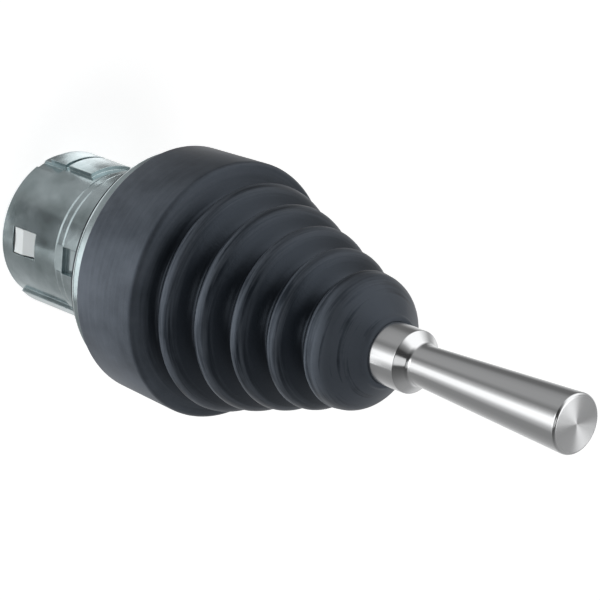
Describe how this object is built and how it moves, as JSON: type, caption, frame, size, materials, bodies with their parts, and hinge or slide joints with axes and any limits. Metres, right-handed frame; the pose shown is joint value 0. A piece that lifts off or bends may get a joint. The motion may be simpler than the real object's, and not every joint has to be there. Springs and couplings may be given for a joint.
{
  "type": "industrial joystick",
  "caption": "Panel-mounted joystick head: steel lever on a two-axis gimbal, folded rubber boot, metal sleeve and spring-loaded plungers.",
  "frame": {"origin": "centre of the face that rests on the panel, on the sleeve's axis", "axes": "+Z out of the panel along the lever at rest, +Y at twelve o'clock with the locating tongue, +X at three o'clock"},
  "size_m": [0.0356, 0.0356, 0.0996],
  "materials": {
    "plated_die_casting": "bright zinc plating on a die-casting",
    "gasket_rubber": "matte",
    "pale_moulding": "satin acetal",
    "grey_die_casting": "as cast, satin",
    "sheet_steel": "plain sheet",
    "plated_steel": "zinc plated",
    "ground_steel": "ground",
    "spring_steel": "drawn wire",
    "turned_stainless": "fine turned",
    "boot_rubber": "matte moulded rubber"
  },
  "bodies": {
    "housing": {"mounting_sleeve": "plated_die_casting", "panel_gasket": "gasket_rubber", "plunger_guide": "pale_moulding", "gimbal_frame": "grey_die_casting", "gate_plate": "sheet_steel", "frame_screws": "plated_steel", "outer_pins": "ground_steel", "return_spring": "spring_steel", "boot": "boot_rubber", "spring_north": "spring_steel", "spring_east": "spring_steel", "spring_south": "spring_steel", "spring_west": "spring_steel"},
    "gimbal": {"gimbal_ring": "grey_die_casting", "inner_pin": "ground_steel"},
    "lever": {"rocker": "pale_moulding", "lever_shaft": "ground_steel", "spring_cup": "sheet_steel", "cup_clip": "spring_steel", "lock_nut": "plated_steel", "lever_handle": "turned_stainless"},
    "follower_north": {"plunger_north": "pale_moulding"},
    "follower_east": {"plunger_east": "pale_moulding"},
    "follower_south": {"plunger_south": "pale_moulding"},
    "follower_west": {"plunger_west": "pale_moulding"}
  },
  "joints": [
    {"name": "tilt_x", "type": "hinge", "parent": "housing", "child": "gimbal", "pos_m": [0, 0, 0.00559], "axis": [1, 0, 0], "range_deg": [-15, 15], "stiffness_Nm_per_rad": 0.8, "deforming": ["boot", "return_spring"]},
    {"name": "tilt_y", "type": "hinge", "parent": "gimbal", "child": "lever", "pos_m": [0, 0, 0.00559], "axis": [0, 1, 0], "range_deg": [-15, 15], "stiffness_Nm_per_rad": 0.8},
    {"name": "slide_north", "type": "slide", "parent": "housing", "child": "follower_north", "axis": [0, 0, 1], "range_m": [-0.00131, 0.00131], "deforming": ["spring_north"]},
    {"name": "slide_east", "type": "slide", "parent": "housing", "child": "follower_east", "axis": [0, 0, 1], "range_m": [-0.00131, 0.00131], "deforming": ["spring_east"]},
    {"name": "slide_south", "type": "slide", "parent": "housing", "child": "follower_south", "axis": [0, 0, 1], "range_m": [-0.00131, 0.00131], "deforming": ["spring_south"]},
    {"name": "slide_west", "type": "slide", "parent": "housing", "child": "follower_west", "axis": [0, 0, 1], "range_m": [-0.00131, 0.00131], "deforming": ["spring_west"]}
  ],
  "couplings": [
    {"joint": "slide_north", "follows": "tilt_x", "m_per_rad": 0.005},
    {"joint": "slide_south", "follows": "tilt_x", "m_per_rad": -0.005},
    {"joint": "slide_east", "follows": "tilt_y", "m_per_rad": -0.005},
    {"joint": "slide_west", "follows": "tilt_y", "m_per_rad": 0.005}
  ]
}
